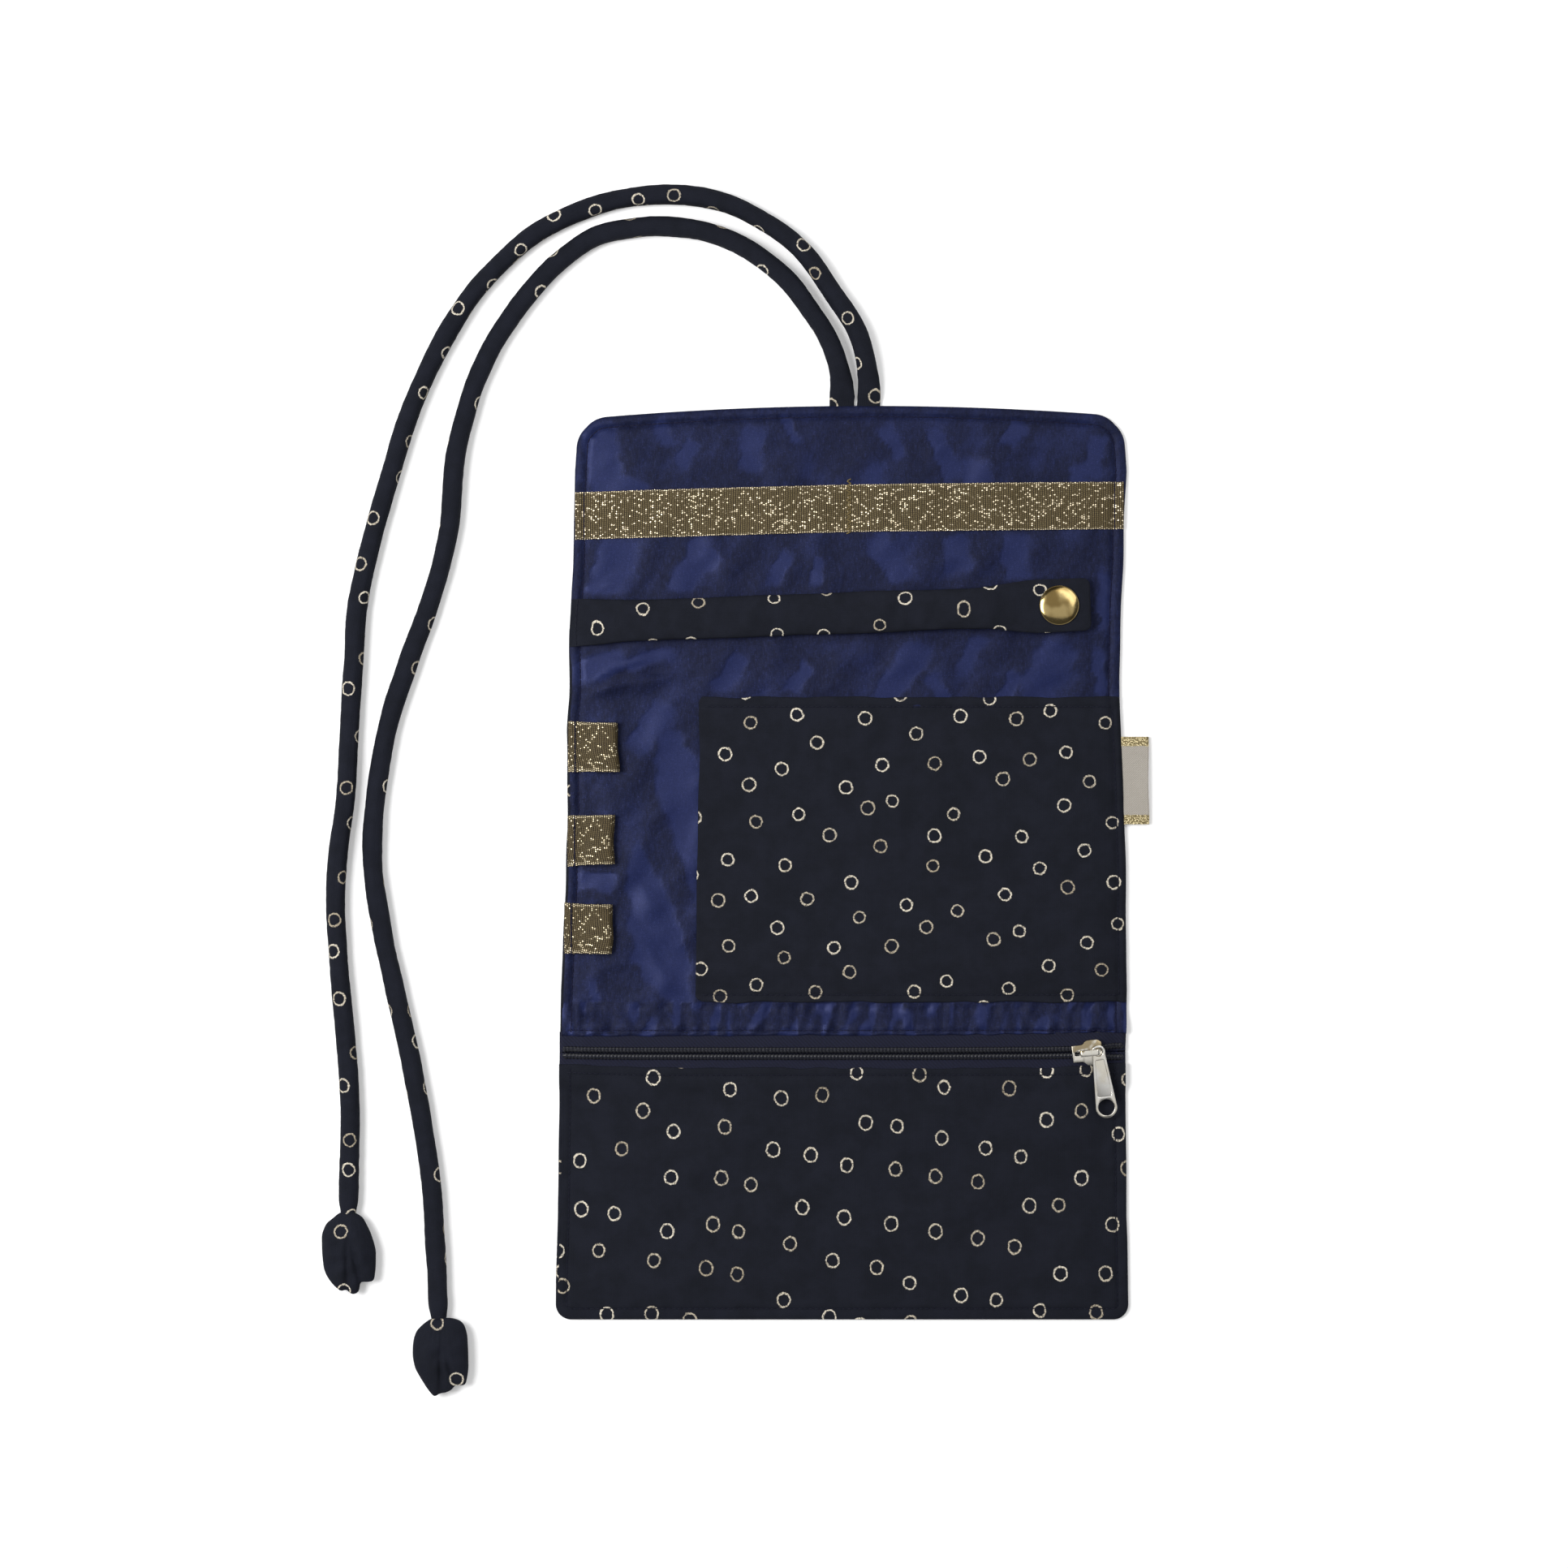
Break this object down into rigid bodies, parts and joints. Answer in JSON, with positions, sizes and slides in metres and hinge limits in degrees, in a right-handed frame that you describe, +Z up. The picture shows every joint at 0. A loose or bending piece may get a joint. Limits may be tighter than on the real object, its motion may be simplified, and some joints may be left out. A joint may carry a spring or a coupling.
{
  "type": "jewelry pouch",
  "caption": "Quilted cloth roll lying open, with a ribbon band, a snapped ring strap, chain loops, a patch pocket, a zip pocket and two long fabric ties; folds in three.",
  "frame": {"origin": "centre of the middle panel's underside, with the pouch lying open on a surface", "axes": "+X across the pouch to the zip pull's side, +Y along it from the zip pocket to the flap, +Z up from the surface"},
  "size_m": [0.2617, 0.3851, 0.0084],
  "materials": {
    "print_cotton": "matte navy cotton with small gold rings",
    "taffeta_lining": "crushed royal blue taffeta",
    "wadding": "polyester wadding",
    "lurex_ribbon": "ribbed gold lurex",
    "zip_tape": "woven polyester tape",
    "zip_coil": "satin nylon coil",
    "nickel": "polished nickel plate",
    "snap_metal": "mirror pale gold plate",
    "woven_label": "cream woven twill with gold bands"
  },
  "bodies": {
    "flap": {"flap_outer": "print_cotton", "flap_wadding": "wadding", "flap_lining": "taffeta_lining", "ribbon_band": "lurex_ribbon", "snap_stud": "snap_metal", "snap_post": "snap_metal", "tie_outer": "print_cotton", "tie_inner": "print_cotton", "tie_outer_bud": "print_cotton", "tie_inner_bud": "print_cotton"},
    "ring_strap": {"strap_cover": "print_cotton", "strap_wadding": "wadding", "snap_cap": "snap_metal", "snap_socket": "snap_metal"},
    "spine_upper": {"spine_upper_outer": "print_cotton", "spine_upper_wadding": "wadding", "spine_upper_lining": "taffeta_lining"},
    "middle_panel": {"middle_outer": "print_cotton", "middle_wadding": "wadding", "middle_lining": "taffeta_lining", "patch_pocket_front": "print_cotton", "patch_pocket_lining": "taffeta_lining", "chain_loop_top": "lurex_ribbon", "chain_loop_middle": "lurex_ribbon", "chain_loop_bottom": "lurex_ribbon", "side_label": "woven_label"},
    "spine_lower": {"spine_lower_outer": "print_cotton", "spine_lower_wadding": "wadding", "spine_lower_lining": "taffeta_lining"},
    "zip_panel": {"zip_panel_outer": "print_cotton", "zip_panel_wadding": "wadding", "zip_pocket_back": "taffeta_lining", "zip_lining_edge": "taffeta_lining", "zip_pocket_front": "print_cotton", "zip_pocket_front_lining": "taffeta_lining", "zip_tape_upper": "zip_tape", "zip_tape_lower": "zip_tape", "zip_coil_upper": "zip_coil", "zip_coil_lower": "zip_coil"},
    "zip_slider": {"slider_body": "nickel", "slider_bridge": "nickel"},
    "zip_pull": {"zip_pull": "nickel"}
  },
  "joints": [
    {"name": "fold_upper", "type": "hinge", "parent": "flap", "child": "spine_upper", "pos_m": [0, 0.0641, 0.002], "axis": [-1, 0, 0], "range_deg": [0, 90]},
    {"name": "fold_upper_second", "type": "hinge", "parent": "spine_upper", "child": "middle_panel", "pos_m": [0, 0.0488, 0.002], "axis": [-1, 0, 0], "range_deg": [0, 90]},
    {"name": "fold_lower", "type": "hinge", "parent": "middle_panel", "child": "spine_lower", "pos_m": [0, -0.0488, 0.002], "axis": [-1, 0, 0], "range_deg": [0, 90]},
    {"name": "fold_lower_second", "type": "hinge", "parent": "spine_lower", "child": "zip_panel", "pos_m": [0, -0.05645, 0.002], "axis": [-1, 0, 0], "range_deg": [0, 90]},
    {"name": "zip_slide", "type": "slide", "parent": "zip_panel", "child": "zip_slider", "axis": [1, 0, 0], "range_m": [-0.158, 0.003]},
    {"name": "pull_swing", "type": "hinge", "parent": "zip_slider", "child": "zip_pull", "pos_m": [0.08059, -0.06325, 0.006], "axis": [0, 0, -1], "range_deg": [-165, 45]},
    {"name": "strap_lift", "type": "hinge", "parent": "flap", "child": "ring_strap", "pos_m": [-0.08664, 0.0725, 0.002], "axis": [-0.0305, 0.9995, 0], "range_deg": [-85, 0]}
  ]
}
